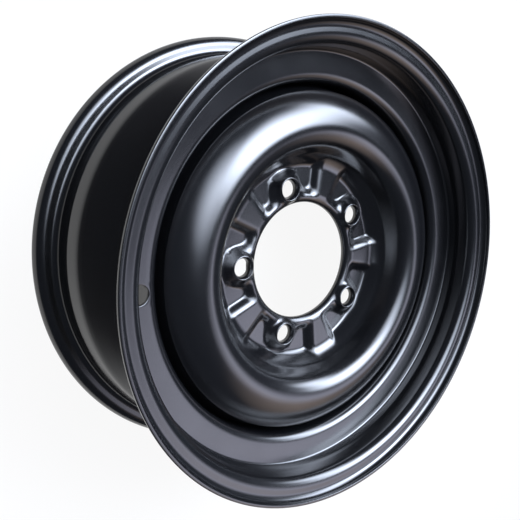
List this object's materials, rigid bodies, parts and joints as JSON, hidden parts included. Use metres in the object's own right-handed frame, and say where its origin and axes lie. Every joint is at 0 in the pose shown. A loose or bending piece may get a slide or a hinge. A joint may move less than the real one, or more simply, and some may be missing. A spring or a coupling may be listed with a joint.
{
  "type": "steel wheel rim",
  "caption": "Black painted steel road wheel: a rolled drop-centre rim with a pressed domed centre disc, a ring of conical nut seats and a large centre bore.",
  "frame": {"origin": "on the wheel's axis in the plane of the face that bolts against the hub, which is also the back end of the centre bore", "axes": "+Z along the wheel's axis to the outboard side, so the wheel lies on its inboard flange; +X through the first bolt hole, with the valve hole 2.2 degrees from it towards +Y"},
  "size_m": [0.4152, 0.415, 0.1728],
  "materials": {
    "rim_coat": "semi-gloss black coat",
    "disc_coat": "semi-gloss black coat",
    "weld_coat": "satin black coat over weld metal"
  },
  "bodies": {
    "root": {"rim": "rim_coat", "disc": "disc_coat", "weld_beads": "weld_coat"}
  },
  "joints": []
}
